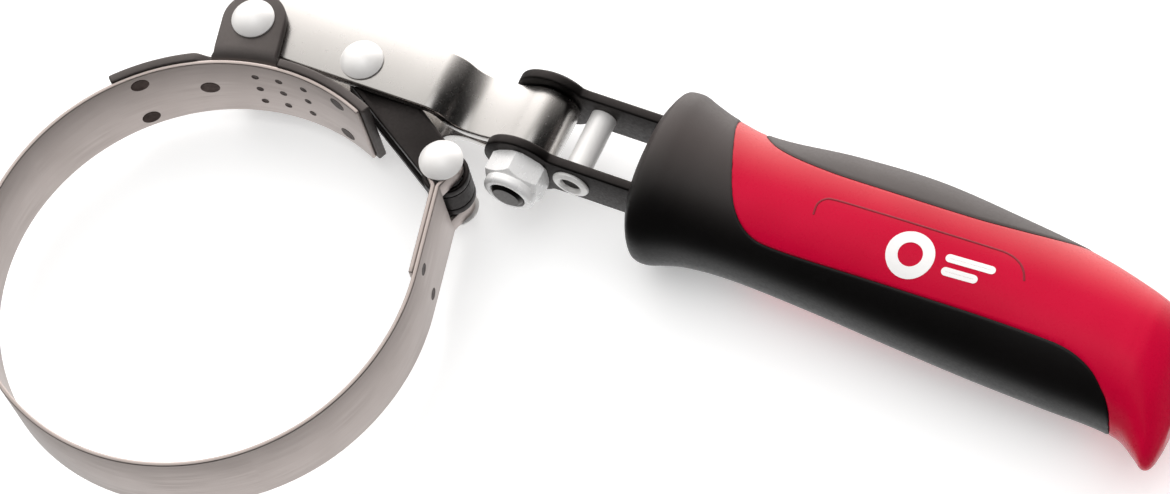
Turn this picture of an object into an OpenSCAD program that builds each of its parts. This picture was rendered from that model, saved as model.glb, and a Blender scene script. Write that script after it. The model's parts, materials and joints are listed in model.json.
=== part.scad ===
// Swivel-handle oil filter wrench.
// A spring-steel band closes round the filter when the handle pulls the lever strap round.
// Origin: centre of the band ring at mid width. +Z along the filter's axis, +X along the handle.

/* [Band] */
// Inner radius of the open band ring
ring_r = 49.2; // [48.8:0.1:49.6]
// Width of the band strip along the filter's axis
band_w = 21; // [20:0.5:22]
// Thickness of the band strip
band_t = 1.0; // [0.8:0.1:1.1]
// Inner radius of the flatter last stretch that leads out to the looped end
flare_r = 54.6; // [54:0.1:55]
// Clear gap between neighbouring rigid stretches of the band
band_gap = 0.3; // [0.2:0.05:0.4]

/* [Saddle] */
// Thickness of the curved saddle plate
saddle_t = 2.2; // [1.8:0.1:2.4]
// Width of the saddle across the band
saddle_w = 21.8; // [21.4:0.1:22]
// Half width of an ear
ear_r = 7.5; // [7:0.1:8]
// Thickness of an ear
ear_t = 2.6; // [2.2:0.1:2.6]

/* [Pivots] */
// Saddle pivot, X and Y
saddle_pin_xy = [-14.6, 59.3];
// Pivot of the link on the lever, X and Y
link_pin_xy = [12.8, 59.5];
// Pivot of the link on the band's looped end, X and Y
band_pin_xy = [42.2, 41.4];
// Shank radius of the three pivot rivets
pin_r = 3.15; // [3:0.05:3.2]
// Head radius of the pivot rivets
pin_head_r = 5; // [4.6:0.1:5.2]
// Head height of the pivot rivets
pin_head_h = 2.8; // [2.2:0.1:3]

/* [Lever strap] */
// Width of the lever strap
strap_w = 15; // [14:0.5:15]
// Thickness of the lever strap
strap_t = 2.4; // [2.2:0.1:2.4]
// Distance from mid plane to the outer face of a strap plate
strap_half = 8; // [7.9:0.05:8.1]
// Y of the strap's lower edge
strap_y = 53.7; // [53.5:0.1:53.9]
// X of the swivel bolt
bolt_x = 55.8; // [55:0.1:57]
// Outer radius of the strap's loop round the swivel bolt
loop_r = 6.5; // [6.4:0.1:6.7]

/* [Link] */
// Thickness of a link plate
link_t = 2.4; // [2:0.1:2.4]
// Half width of a link plate at the lever end
link_r = 5.0; // [4.6:0.1:5.2]
// Half width of a link plate at the band end
link_tip_r = 4.4; // [4.2:0.1:4.8]
// Extra radius of the link's hole on the band pin, for the opened pivot
open_clear = 1.05; // [1:0.05:1.1]

/* [Yoke] */
// Half width of a yoke arm along the filter's axis
arm_half = 6.2; // [5.8:0.1:6.4]
// Thickness of a yoke arm
arm_t = 2.4; // [2.2:0.1:3]
// Radius of a yoke arm's eye
eye_r = 9.4; // [9:0.1:9.6]
// Shank radius of the swivel bolt
bolt_r = 3.95; // [3.9:0.01:3.95]
// X of the cross rivet that ties the yoke arms
cross_x = 68; // [67.5:0.1:69]
// Shank radius of the cross rivet
cross_r = 3; // [2.4:0.1:3.1]

/* [Grip] */
// Front face of the grip collar
grip_x0 = 84.2; // [84:0.1:84.6]
// Far end of the grip
grip_x1 = 211.4; // [211.2:0.1:212]
// Thickness of the rubber overmould
skin_t = 2.5; // [2:0.1:3]
// Squareness of the grip's cross-section, where 2 is an ellipse
squareness = 2.35; // [2:0.05:3]

/* [Hidden] */
$fn = 96;

// Steel strip colours, nickel for rivets and nut, black oxide for the saddle, link and yoke
band_colour = "#aba19d";
nickel = "#e4e2e0";
black_oxide = "#262324";
red = "#c8102e";
rubber_black = "#1c1a1b";

// Radial running clearance, and the clearance of a pin in its own body
run_clear = 0.1;
seat_clear = 0.05;
// Axial gap between plates that turn on each other
plate_gap = 0.3;

function polar(r, a) = r * [cos(a), sin(a)];
function bearing(v) = atan2(v[1], v[0]);
function arc_points(c, r, a0, a1, n) =
    [for (i = [0:n]) c + polar(r, a0 + (a1 - a0) * i / n)];
function mirrored_in_y(points) =
    [for (i = [len(points) - 1:-1:0]) [points[i][0], -points[i][1]]];

// The band runs counter-clockwise from the saddle's right end, round the filter, to band_end.
ring_out = ring_r + band_t;
ring_mid = ring_r + band_t / 2;
saddle_a0 = 66.4;
saddle_a1 = 139.2;
anchor_a0 = 67.6;
hinge_a = [144, 192, 240, 288, 336];
gap_a = band_gap / 2 / ring_mid * 180 / PI;

// Last stretch: an arc of flare_r that leaves the ring smoothly at the last hinge angle, then a
// straight double strip along its tangent to the loop round the band pin.
flare_c = polar(ring_r - flare_r, hinge_a[4]);
flare_v = band_pin_xy - flare_c;
flare_a1 = bearing(flare_v) - acos(flare_r / norm(flare_v));
tail_xy = flare_c + polar(flare_r, flare_a1);
tail_len = norm(band_pin_xy - tail_xy);
loop_in = pin_r + seat_clear;
loop_out = loop_in + band_t;
loop_neck = 6.4;
loop_slot = 7.8;

ear_z = saddle_w / 2 - ear_t;
ear_bearing = bearing(saddle_pin_xy);
plate_in = strap_half - strap_t;
link_z1 = plate_in - plate_gap;
link_z0 = link_z1 - link_t;
slot_half = link_z1 + 0.4;
link_hole_r = pin_r + run_clear;
open_hole_r = pin_r + open_clear;
link_eye_r = open_hole_r + 1.1;

// Side profile of the lever strap, from the bolt's loop back through the neck to the flat plates
neck_half = strap_t + 0.2;
bend_r = 6.5;
sweep_r = 21.7;
loop_hole_r = loop_r - strap_t;
neck_x = bolt_x - sqrt(pow(sweep_r + loop_r, 2) - pow(neck_half + sweep_r, 2));
neck_c = [neck_x, neck_half + bend_r];
sweep_c = [neck_x, neck_half + sweep_r];
bend_z = strap_half - bend_r;
bend_x = neck_x - sqrt(pow(2 * bend_r, 2) - pow(neck_c[1] - bend_z, 2));
bend_c = [bend_x, bend_z];
loop_c = [bolt_x, 0];
bend_a = bearing(neck_c - bend_c);
sweep_a = bearing(loop_c - sweep_c) + 360;
strap_end_x = saddle_pin_xy[0] + 0.4;
strap_mid_y = strap_y + strap_w / 2;

// Yoke arms run parallel past the collar, then come together as the tang inside the grip
arm_hi = strap_y + strap_w + plate_gap;
arm_lo = strap_y - 0.1;
tang_y = 60;
tang_x0 = 104;
tang_x1 = 166;
arm_bend_x = 88;
tang_t = arm_t;
nut_h = 8;
tang_rivet_x = [116, 152];

// Grip side view: [x, top y, bottom y, half thickness]
stations = [
    [grip_x0, 75.5, 45, 13.4],
    [86.6, 79.6, 40.8, 16.2],
    [89.2, 79.9, 40.2, 16.6],
    [97, 77.4, 42.4, 15.4],
    [108, 75.6, 43.3, 14.6],
    [127, 77.4, 42.5, 15.2],
    [146, 78, 41, 15.6],
    [165, 76.2, 39.6, 15.3],
    [184, 73.6, 38.7, 14.6],
    [196, 70.6, 38.3, 13.8],
    [202, 68.6, 36.8, 12.8],
    [206, 66.6, 33.8, 10.4],
    [208.6, 64.8, 31.9, 7.7],
    [210.3, 62.4, 33, 5.6],
    [grip_x1, 59.8, 37.5, 4.4]
];

// Smooth curve through the stations, sampled between neighbours
function station(i) = stations[max(0, min(len(stations) - 1, i))];
function even_slope(i) =
    (station(i + 1) - station(i - 1)) / max(0.1, station(i + 1)[0] - station(i - 1)[0]);
function hermite(i, t) =
    let (a = station(i), b = station(i + 1), w = b[0] - a[0])
    (2 * t * t * t - 3 * t * t + 1) * a + (t * t * t - 2 * t * t + t) * w * even_slope(i)
    + (3 * t * t - 2 * t * t * t) * b + (t * t * t - t * t) * w * even_slope(i + 1);
function grip_rings() = concat(
    [for (i = [0:len(stations) - 2])
        let (n = max(1, round((station(i + 1)[0] - station(i)[0]) / 4)))
        for (k = [0:n - 1]) hermite(i, k / n)],
    [station(len(stations) - 1)]);

function power_cos(a, e) = sign(cos(a)) * pow(abs(cos(a)), e);
function power_sin(a, e) = sign(sin(a)) * pow(abs(sin(a)), e);
function grip_section(s, inset, sides) =
    let (half = (s[1] - s[2]) / 2 - inset, mid = (s[1] + s[2]) / 2, e = 2 / squareness)
    [for (k = [0:sides - 1])
        let (a = 360 * k / sides)
        [s[0], mid + half * power_cos(a, e), (s[3] - inset) * power_sin(a, e)]];

module band_arc(r0, r1, a0, a1, w) {
    rotate([0, 0, a0])
        rotate_extrude(angle = a1 - a0)
            translate([r0, -w / 2])
                square([r1 - r0, w]);
}

module band_segment(i) {
    color(band_colour)
        band_arc(ring_r, ring_out, hinge_a[i] + gap_a, hinge_a[i + 1] - gap_a, band_w);
}

module dome(r, h) {
    rim = 0.5;
    cap_h = h - rim;
    cap_r = (r * r + cap_h * cap_h) / (2 * cap_h);
    cylinder(h = rim, r = r);
    intersection() {
        translate([0, 0, rim + cap_h - cap_r]) sphere(cap_r);
        translate([0, 0, rim]) cylinder(h = h, r = r + 1);
    }
}

module pivot_rivet(xy, length) {
    color(nickel)
        translate([xy[0], xy[1], 0]) {
            cylinder(h = length, r = pin_r, center = true);
            for (side = [0, 1])
                mirror([0, 0, side])
                    translate([0, 0, length / 2])
                        dome(pin_head_r, pin_head_h);
        }
}

module ear_outline() {
    rotate([0, 0, ear_bearing - 90])
        difference() {
            union() {
                translate([0, norm(saddle_pin_xy)]) circle(ear_r);
                translate([-ear_r, ring_out])
                    square([2 * ear_r, norm(saddle_pin_xy) - ring_out]);
            }
            circle(ring_out + 0.4);
            translate([0, norm(saddle_pin_xy)]) circle(pin_r + seat_clear);
        }
}

module saddle() {
    color(black_oxide) {
        band_arc(ring_out, ring_out + saddle_t, saddle_a0, saddle_a1, saddle_w);
        for (side = [0, 1])
            mirror([0, 0, side])
                translate([0, 0, ear_z])
                    linear_extrude(ear_t) ear_outline();
    }
}

module band_anchor() {
    color(band_colour)
        band_arc(ring_r, ring_out, anchor_a0, hinge_a[0] - gap_a, band_w);
}

// Teardrop: a round of radius r at [tail_len, 0] with straight sides down to [x, +-half]
module teardrop(r, x, half) {
    reach = norm([tail_len - x, half]);
    lean = acos(r / reach);
    side_a = bearing([x - tail_len, half]);
    touch = [tail_len, 0] + polar(r, side_a - lean);
    translate([tail_len, 0]) circle(r);
    polygon([[x, half], touch, [tail_len, 0], [touch[0], -touch[1]], [x, -half]]);
}

// Side view of the last stretch: flatter arc, straight double strip and loop
module band_end_profile() {
    translate(flare_c)
        intersection() {
            difference() {
                circle(flare_r + band_t);
                circle(flare_r);
            }
            polygon([
                [0, 0], polar(2 * flare_r, hinge_a[4] + gap_a),
                polar(2 * flare_r, flare_a1)
            ]);
        }
    translate(tail_xy)
        rotate(flare_a1 + 90)
            difference() {
                union() {
                    translate([0, -band_t]) square([tail_len - loop_neck, 2 * band_t]);
                    teardrop(loop_out, tail_len - loop_neck, band_t);
                }
                teardrop(loop_in, tail_len - loop_neck + 0.6, 0.2);
            }
}

module band_end() {
    color(band_colour)
        difference() {
            linear_extrude(band_w, center = true) band_end_profile();
            translate([tail_xy[0], tail_xy[1], 0])
                rotate([0, 0, flare_a1 + 90])
                    translate([tail_len - loop_slot, -10, -slot_half])
                        cube([2 * loop_slot, 20, 2 * slot_half]);
        }
}

module saddle_pin() { pivot_rivet(saddle_pin_xy, saddle_w); }
module link_pin() { pivot_rivet(link_pin_xy, 2 * strap_half); }
module band_pin() { pivot_rivet(band_pin_xy, band_w); }

// Half profile of the strap, moved in from its outer face by inset
function strap_side(inset) = concat(
    [[strap_end_x - 20, strap_half - inset]],
    arc_points(bend_c, bend_r - inset, 90, bend_a, 8),
    arc_points(neck_c, bend_r + inset, bend_a + 180, 270, 8),
    arc_points(sweep_c, sweep_r + inset, 270, sweep_a, 8),
    arc_points(loop_c, loop_r - inset, sweep_a - 180, 0, 14));
function strap_profile(inset) =
    concat(strap_side(inset), mirrored_in_y(strap_side(inset)));

module lever() {
    color(nickel)
        difference() {
            intersection() {
                translate([0, strap_y + strap_w, 0])
                    rotate([90, 0, 0])
                        linear_extrude(strap_w)
                            difference() {
                                polygon(strap_profile(0));
                                polygon(strap_profile(strap_t));
                            }
                union() {
                    translate([strap_end_x, strap_mid_y, 0])
                        cylinder(h = 4 * strap_half, r = strap_w / 2, center = true);
                    translate([strap_end_x, strap_y, -2 * strap_half])
                        cube([bolt_x + loop_r + 1 - strap_end_x, strap_w, 4 * strap_half]);
                }
            }
            translate([bolt_x, strap_mid_y, 0])
                rotate([90, 0, 0])
                    cylinder(h = 2 * strap_w, r = loop_hole_r, center = true);
            translate([saddle_pin_xy[0], saddle_pin_xy[1], 0])
                cylinder(h = 4 * strap_half, r = pin_r + run_clear, center = true);
            translate([link_pin_xy[0], link_pin_xy[1], 0])
                cylinder(h = 4 * strap_half, r = pin_r + seat_clear, center = true);
        }
}

module sleeve(xy, half_len, r_out, r_in) {
    translate([xy[0], xy[1], 0])
        difference() {
            cylinder(h = 2 * half_len, r = r_out, center = true);
            cylinder(h = 3 * half_len, r = r_in, center = true);
        }
}

module lever_spacer() {
    color(nickel) sleeve(saddle_pin_xy, plate_in, 5.2, pin_r + run_clear);
}

module link_plate() {
    along = band_pin_xy - link_pin_xy;
    span = norm(along);
    translate([link_pin_xy[0], link_pin_xy[1], link_z0])
        rotate([0, 0, bearing(along)])
            difference() {
                union() {
                    cylinder(h = link_t, r = link_r);
                    translate([span, 0, 0]) cylinder(h = link_t, r = link_eye_r);
                    linear_extrude(link_t)
                        polygon([[0, -link_r], [span, -link_tip_r], [span, link_tip_r], [0, link_r]]);
                }
                translate([0, 0, -1]) cylinder(h = 2 * link_t, r = link_hole_r);
                translate([span, 0, -1]) cylinder(h = 2 * link_t, r = open_hole_r);
            }
}

module link_near() { color(black_oxide) link_plate(); }
module link_far() { color(black_oxide) mirror([0, 0, 1]) link_plate(); }
module link_spacer_upper() { color(black_oxide) sleeve(link_pin_xy, link_z0, 4.6, link_hole_r); }
module link_spacer_lower() { color(black_oxide) sleeve(band_pin_xy, link_z0, link_eye_r, open_hole_r); }

// Side view of one yoke arm: parallel to the strap, then bent in to the tang
module arm_bar(y, tang_side_y) {
    translate([0, 0, -arm_half])
        linear_extrude(2 * arm_half)
            polygon([
                [bolt_x, y], [arm_bend_x, y], [tang_x0, tang_side_y],
                [tang_x1, tang_side_y], [tang_x1, tang_side_y + tang_t],
                [tang_x0, tang_side_y + tang_t], [arm_bend_x, y + arm_t], [bolt_x, y + arm_t]
            ]);
}

module across(x, y, h, r) {
    translate([x, y, 0])
        rotate([-90, 0, 0])
            cylinder(h = h, r = r);
}

module yoke_arm(y, tang_side_y) {
    color(black_oxide)
        difference() {
            union() {
                arm_bar(y, tang_side_y);
                across(bolt_x, y, arm_t, eye_r);
            }
            across(bolt_x, y - 1, arm_t + 2, bolt_r + seat_clear);
            across(cross_x, y - 1, arm_t + 2, cross_r + seat_clear);
            for (x = tang_rivet_x)
                across(x, tang_side_y - 1, tang_t + 2, cross_r + seat_clear);
        }
}

module yoke_arm_upper() { yoke_arm(arm_hi, tang_y); }
module yoke_arm_lower() { yoke_arm(arm_lo - arm_t, tang_y - tang_t); }

module swivel_bolt() {
    head_r = 8;
    head_h = 2.2;
    color(black_oxide) {
        across(bolt_x, arm_lo - arm_t - nut_h - 0.6, arm_hi - arm_lo + 2 * arm_t + nut_h + 0.6, bolt_r);
        translate([bolt_x, arm_hi + arm_t, 0])
            rotate([-90, 0, 0])
                dome(head_r, head_h);
    }
}

module swivel_nut() {
    nut_af = 12.7;
    hex_h = 5.8;
    collar_r = 6.1;
    corner_r = nut_af / 2 / cos(30);
    chamfer = 0.7;
    color(nickel)
        translate([bolt_x, arm_lo - arm_t, 0])
            rotate([90, 0, 0])
                difference() {
                    union() {
                        intersection() {
                            cylinder(h = hex_h, r = corner_r, $fn = 6);
                            cylinder(h = hex_h, r1 = corner_r + hex_h - chamfer, r2 = corner_r - chamfer);
                        }
                        cylinder(h = nut_h - chamfer, r = collar_r);
                        translate([0, 0, nut_h - chamfer])
                            cylinder(h = chamfer, r1 = collar_r, r2 = collar_r - chamfer);
                    }
                    translate([0, 0, -1]) cylinder(h = nut_h + 2, r = bolt_r + seat_clear);
                }
}

module cross_rivet() {
    flare_head_r = 4.4;
    flare_head_h = 1;
    bore_r = 2.3;
    bore_depth = 4;
    color(nickel)
        difference() {
            union() {
                across(cross_x, arm_lo - arm_t, arm_hi - arm_lo + 2 * arm_t, cross_r);
                across(cross_x, arm_lo - arm_t - flare_head_h, flare_head_h, flare_head_r);
                translate([cross_x, arm_hi + arm_t, 0])
                    rotate([-90, 0, 0])
                        dome(flare_head_r, 1.6);
            }
            across(cross_x, arm_lo - arm_t - flare_head_h - 1, bore_depth + 1, bore_r);
        }
}

module tang_rivets() {
    color(nickel)
        for (x = tang_rivet_x) {
            across(x, tang_y - tang_t, 2 * tang_t, cross_r);
            across(x, tang_y + tang_t, 1.2, 4);
            across(x, tang_y - tang_t - 1.2, 1.2, 4);
        }
}

// Closed loft through the grip's cross-sections between two x values, moved in by inset
module grip_body(inset, x_from, x_to) {
    sides = 32;
    rings = [for (s = grip_rings()) if (s[0] > x_from && s[0] < x_to) s];
    count = len(rings);
    points = [for (s = rings) each grip_section(s, inset, sides)];
    walls = [for (i = [0:count - 2]) for (k = [0:sides - 1])
        let (n = (k + 1) % sides)
        [i * sides + k, (i + 1) * sides + k, (i + 1) * sides + n, i * sides + n]];
    caps = [[for (k = [0:sides - 1]) k], [for (k = [sides - 1:-1:0]) (count - 1) * sides + k]];
    polyhedron(points = points, faces = concat(walls, caps), convexity = 4);
}

// Side-view region of the black overmould: collar, then the belly up to a long curved edge
module overmould_region() {
    linear_extrude(60, center = true)
        polygon([
            [70, 90], [97.4, 90], [97.4, 84], [98.8, 78], [100.4, 72], [103, 64.7], [105.7, 57.8],
            [108.2, 52.8], [111, 49.5], [114.6, 47.6], [119, 47], [130, 46.8], [168, 46.9],
            [181, 46.8], [187.4, 46.2], [192.6, 44.2], [196.3, 41.3], [198.5, 38.9], [200.4, 35],
            [200.4, 30], [70, 30]
        ]);
}

// Side-view region of the top inlay, a long lens along the grip's back
module inlay_region() {
    linear_extrude(60, center = true)
        polygon([
            [104.5, 90], [105.5, 76], [107.5, 72.4], [111.5, 69.8], [119, 68], [130, 67.2],
            [145, 67.4], [158, 67.9], [166, 68.9], [173, 70.2], [179, 71.8], [184, 74],
            [187, 77], [187, 90]
        ]);
}

module tang_pocket() {
    ease = 0.1;
    for (y = [arm_hi, arm_lo - arm_t])
        translate([grip_x0 - 1, y - ease, -arm_half - ease])
            cube([arm_bend_x - grip_x0 + 2, arm_t + 2 * ease, 2 * (arm_half + ease)]);
    translate([0, 0, -arm_half - ease])
        linear_extrude(2 * (arm_half + ease))
            polygon([
                [arm_bend_x - 0.5, arm_lo - arm_t - ease], [arm_bend_x - 0.5, arm_hi + arm_t + ease],
                [tang_x0 + 2, tang_y + tang_t + 1.4], [tang_x1 + ease, tang_y + tang_t + 1.4],
                [tang_x1 + ease, tang_y - tang_t - 1.4], [tang_x0 + 2, tang_y - tang_t - 1.4]
            ]);
}

module grip_skin() {
    difference() {
        grip_body(0, grip_x0 - 1, grip_x1 + 1);
        grip_body(skin_t, grip_x0 + 1, grip_x1 - 3);
    }
}

module grip_core() {
    color(red)
        difference() {
            grip_body(0, grip_x0 - 1, grip_x1 + 1);
            intersection() {
                grip_skin();
                union() {
                    overmould_region();
                    inlay_region();
                }
            }
            tang_pocket();
        }
}

module grip_overmould() {
    color(rubber_black)
        difference() {
            intersection() {
                grip_skin();
                overmould_region();
            }
            tang_pocket();
        }
}

module grip_top_inlay() {
    color(rubber_black)
        intersection() {
            grip_skin();
            inlay_region();
        }
}

saddle();
band_anchor();
band_segment(0);  // band_1
band_segment(1);  // band_2
band_segment(2);  // band_3
band_segment(3);  // band_4
band_end();
saddle_pin();
link_pin();
band_pin();
lever();
lever_spacer();
link_near();
link_far();
link_spacer_upper();
link_spacer_lower();
yoke_arm_upper();
yoke_arm_lower();
swivel_bolt();
swivel_nut();
cross_rivet();
tang_rivets();
grip_core();
grip_overmould();
grip_top_inlay();
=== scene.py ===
"""Swivel-handle oil filter wrench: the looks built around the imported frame. Lengths are in metres."""

import bpy
import bmesh
import json
import math
from mathutils import Matrix, Vector, kdtree


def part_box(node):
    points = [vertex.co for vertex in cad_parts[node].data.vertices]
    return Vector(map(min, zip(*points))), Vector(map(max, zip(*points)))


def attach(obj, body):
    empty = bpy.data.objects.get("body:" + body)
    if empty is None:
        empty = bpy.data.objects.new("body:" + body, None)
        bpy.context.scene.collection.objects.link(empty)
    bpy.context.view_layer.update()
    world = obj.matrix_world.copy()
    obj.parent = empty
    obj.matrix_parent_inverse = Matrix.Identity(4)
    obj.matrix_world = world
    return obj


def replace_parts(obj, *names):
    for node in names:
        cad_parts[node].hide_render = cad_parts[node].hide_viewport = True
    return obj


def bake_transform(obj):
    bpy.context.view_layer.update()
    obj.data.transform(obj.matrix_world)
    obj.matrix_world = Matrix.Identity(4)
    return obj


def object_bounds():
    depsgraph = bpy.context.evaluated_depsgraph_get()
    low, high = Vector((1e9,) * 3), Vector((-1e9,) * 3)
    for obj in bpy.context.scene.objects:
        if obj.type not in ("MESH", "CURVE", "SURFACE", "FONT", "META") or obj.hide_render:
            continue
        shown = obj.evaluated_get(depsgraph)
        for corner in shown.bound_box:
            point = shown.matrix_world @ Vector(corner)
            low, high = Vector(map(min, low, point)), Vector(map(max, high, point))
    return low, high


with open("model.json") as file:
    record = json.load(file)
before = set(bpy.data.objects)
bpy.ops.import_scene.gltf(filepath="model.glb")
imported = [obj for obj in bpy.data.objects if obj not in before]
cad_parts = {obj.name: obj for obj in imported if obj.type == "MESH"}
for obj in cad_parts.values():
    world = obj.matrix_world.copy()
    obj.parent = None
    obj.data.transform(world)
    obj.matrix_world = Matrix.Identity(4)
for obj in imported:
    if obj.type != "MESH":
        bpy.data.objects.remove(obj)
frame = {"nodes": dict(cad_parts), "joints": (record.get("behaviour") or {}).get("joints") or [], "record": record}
cad_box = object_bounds()
scene = bpy.context.scene
MM = 0.001
Z = Vector((0, 0, 1))
Y = Vector((0, 1, 0))


# ---------------------------------------------------------------- frame facts
def joint_xy(name):
    """Place of a hinge in the frame, as an XY vector."""
    pos = next(j for j in frame["joints"] if j["name"] == name)["pos_m"]
    return Vector((pos[0], pos[1]))


def box_centre_xy(node):
    low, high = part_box(node)
    return Vector(((low.x + high.x) / 2, (low.y + high.y) / 2))


clamp = next(m for m in frame["record"]["mounts"] if m["name"] == "filter_clamp")
RING_R = clamp["dims"]["r_mm"] * MM
BAND_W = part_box("band_2")[1].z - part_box("band_2")[0].z
BAND_T = 1.0 * MM
SADDLE_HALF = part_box("saddle")[1].z
SADDLE_PIN = joint_xy("lever_pivot")
LINK_PIN = joint_xy("link_pivot")
BAND_PIN = box_centre_xy("band_pin")
BOLT_X = joint_xy("handle_swivel").x
ARM_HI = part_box("yoke_arm_upper")
ARM_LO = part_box("yoke_arm_lower")
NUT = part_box("swivel_nut")


def polar(r, degrees, z=0.0):
    a = math.radians(degrees)
    return Vector((r * math.cos(a), r * math.sin(a), z))


def flat(v):
    """XY vector as a 3-D point at mid width."""
    return Vector((v[0], v[1], 0))


# ---------------------------------------------------------------- materials
def new_material(name):
    """A node material, as (material, node tree, shader)."""
    mat = bpy.data.materials.new(name)
    mat.use_nodes = True
    return mat, mat.node_tree, mat.node_tree.nodes["Principled BSDF"]


def add(tree, kind, links=(), **values):
    """New node; links pairs its sockets with sources, and values are set by name with _ for a space."""
    node = tree.nodes.new(kind)
    for key, value in values.items():
        node.inputs[key.replace("_", " ")].default_value = value
    for socket, source in links:
        tree.links.new(source, node.inputs[socket])
    return node


def coordinates(tree, kind, scale):
    """Object or UV coordinates stretched by scale."""
    source = add(tree, "ShaderNodeTexCoord")
    return add(tree, "ShaderNodeMapping", [("Vector", source.outputs[kind])], Scale=scale).outputs["Vector"]


def noise(tree, vector, scale, detail=4.0, rough=0.55):
    tex = add(tree, "ShaderNodeTexNoise", [("Vector", vector)], Scale=scale, Detail=detail, Roughness=rough)
    return tex.outputs["Fac"]


def ramp(tree, value, stops):
    node = add(tree, "ShaderNodeValToRGB", [("Fac", value)])
    elements = node.color_ramp.elements
    while len(elements) < len(stops):
        elements.new(0.5)
    for element, (place, colour) in zip(elements, stops):
        element.position = place
        element.color = (*colour, 1)
    return node.outputs["Color"]


def drifting_colour(tree, value, dark, light):
    return ramp(tree, value, [(0.3, dark), (0.7, light)])


def surface(tree, shader, tone, fine, rough, strength, depth):
    """Colour, uneven gloss and fine relief of a finish."""
    gloss = add(tree, "ShaderNodeMapRange", [("Value", fine)],
                From_Min=0.3, From_Max=0.7, To_Min=rough[0], To_Max=rough[1])
    relief = add(tree, "ShaderNodeBump", [("Height", fine)], Strength=strength, Distance=depth)
    tree.links.new(tone, shader.inputs["Base Color"])
    tree.links.new(gloss.outputs["Result"], shader.inputs["Roughness"])
    tree.links.new(relief.outputs["Normal"], shader.inputs["Normal"])


def metal(name, dark, light, rough, streaks, grain, follow="UV", metallic=1.0):
    """Metal with a fine finish, slow colour drift and uneven gloss."""
    mat, tree, shader = new_material(name)
    shader.inputs["Metallic"].default_value = metallic
    drift = noise(tree, coordinates(tree, "Object", (1, 1, 1)), 45, 3)
    fine = noise(tree, coordinates(tree, follow, streaks), grain, 3)
    surface(tree, shader, drifting_colour(tree, drift, dark, light), fine, rough, 0.06, 0.015 * MM)
    return mat


def moulded(name, dark, light, rough, grain, strength, depth, gloss=0.5, painted_highlight=None):
    """Moulded plastic or rubber: colour drift, leathery grain, uneven gloss.

    painted_highlight, if given, is (y from, y to, colour): a painted highlight, a paler colour blended in towards
    the upper side.
    """
    mat, tree, shader = new_material(name)
    shader.inputs["Specular IOR Level"].default_value = gloss
    place = coordinates(tree, "Object", (1, 1, 1))
    drift = noise(tree, place, 30, 4)
    tone = drifting_colour(tree, drift, dark, light)
    # painted highlight: blend towards the paler colour as y rises, standing in for the sheen of the light from
    # behind
    if painted_highlight:
        low, high, pale = painted_highlight
        split = add(tree, "ShaderNodeSeparateXYZ", [("Vector", place)])
        rise = add(tree, "ShaderNodeMapRange", [("Value", split.outputs["Y"])], From_Min=low, From_Max=high)
        rise.interpolation_type = "SMOOTHSTEP"
        highlight_tone = drifting_colour(tree, drift, [c * 0.8 for c in pale], pale)
        mix = add(tree, "ShaderNodeMix")
        mix.data_type = "RGBA"
        for socket, source in (("Factor", rise.outputs["Result"]), ("A", tone), ("B", highlight_tone)):
            tree.links.new(source, mix.inputs[socket])
        tone = mix.outputs["Result"]
    surface(tree, shader, tone, noise(tree, place, grain, 5, 0.6), rough, strength, depth)
    return mat


BRUSHED = (1, 40, 1)
EVEN = (1, 1, 1)
band_steel = metal("band_steel", (0.56, 0.49, 0.46), (0.64, 0.565, 0.535), (0.34, 0.48), BRUSHED, 60)
black_oxide = metal("black_oxide", (0.036, 0.032, 0.031), (0.06, 0.054, 0.053), (0.4, 0.56), EVEN, 1500,
                    follow="Object")
saddle_steel = metal("saddle_steel", (0.085, 0.074, 0.07), (0.13, 0.115, 0.11), (0.42, 0.56), EVEN, 1500,
                     follow="Object", metallic=0.6)
bolt_steel = metal("bolt_steel", (0.1, 0.095, 0.092), (0.15, 0.143, 0.138), (0.3, 0.45), EVEN, 1500,
                   follow="Object")
lever_nickel = metal("lever_nickel", (0.7, 0.68, 0.66), (0.74, 0.72, 0.7), (0.24, 0.28), EVEN, 700,
                     follow="Object")
rivet_nickel = metal("rivet_nickel", (0.88, 0.865, 0.85), (0.95, 0.935, 0.92), (0.3, 0.42), EVEN, 1200,
                     follow="Object", metallic=0.25)
nut_zinc = metal("nut_zinc", (0.93, 0.925, 0.92), (0.98, 0.975, 0.97), (0.22, 0.3), EVEN, 450,
                 follow="Object", metallic=0.15)
weld_heat = metal("weld_heat", (0.045, 0.03, 0.026), (0.1, 0.065, 0.055), (0.35, 0.6), EVEN, 900,
                  follow="Object")
# painted highlight: paler red along the grip's upper edge, standing in for the reflection of the light behind the
# grip
RED_PAINTED_HIGHLIGHT = (58 * MM, 76 * MM, (0.68, 0.13, 0.13))
red_plastic = moulded("red_plastic", (0.52, 0.002, 0.03), (0.58, 0.003, 0.038), (0.26, 0.3), 700,
                      strength=0.04, depth=0.01 * MM, gloss=0.12, painted_highlight=RED_PAINTED_HIGHLIGHT)
# painted highlight: paler brown-grey on the collar's top and on the inlay, standing in for the sheen of the light
# behind the grip
RUBBER_PAINTED_HIGHLIGHT = (45 * MM, 68 * MM, (0.07, 0.057, 0.054))
black_rubber = moulded("black_rubber", (0.004, 0.0035, 0.0035), (0.006, 0.0052, 0.0052), (0.36, 0.48), 1400,
                       strength=0.2, depth=0.04 * MM, gloss=0.35, painted_highlight=RUBBER_PAINTED_HIGHLIGHT)
# painted shade: darker red for the panel outline, standing in for the shade in an engraved groove
groove_shade_red = moulded("groove_shade_red", (0.20, 0.0, 0.01), (0.26, 0.001, 0.015), (0.4, 0.5), 900,
                        strength=0.05, depth=0.03 * MM)
white_ink = moulded("white_ink", (0.86, 0.85, 0.84), (0.93, 0.92, 0.92), (0.35, 0.5), 1200,
                    strength=0.05, depth=0.02 * MM)


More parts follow.
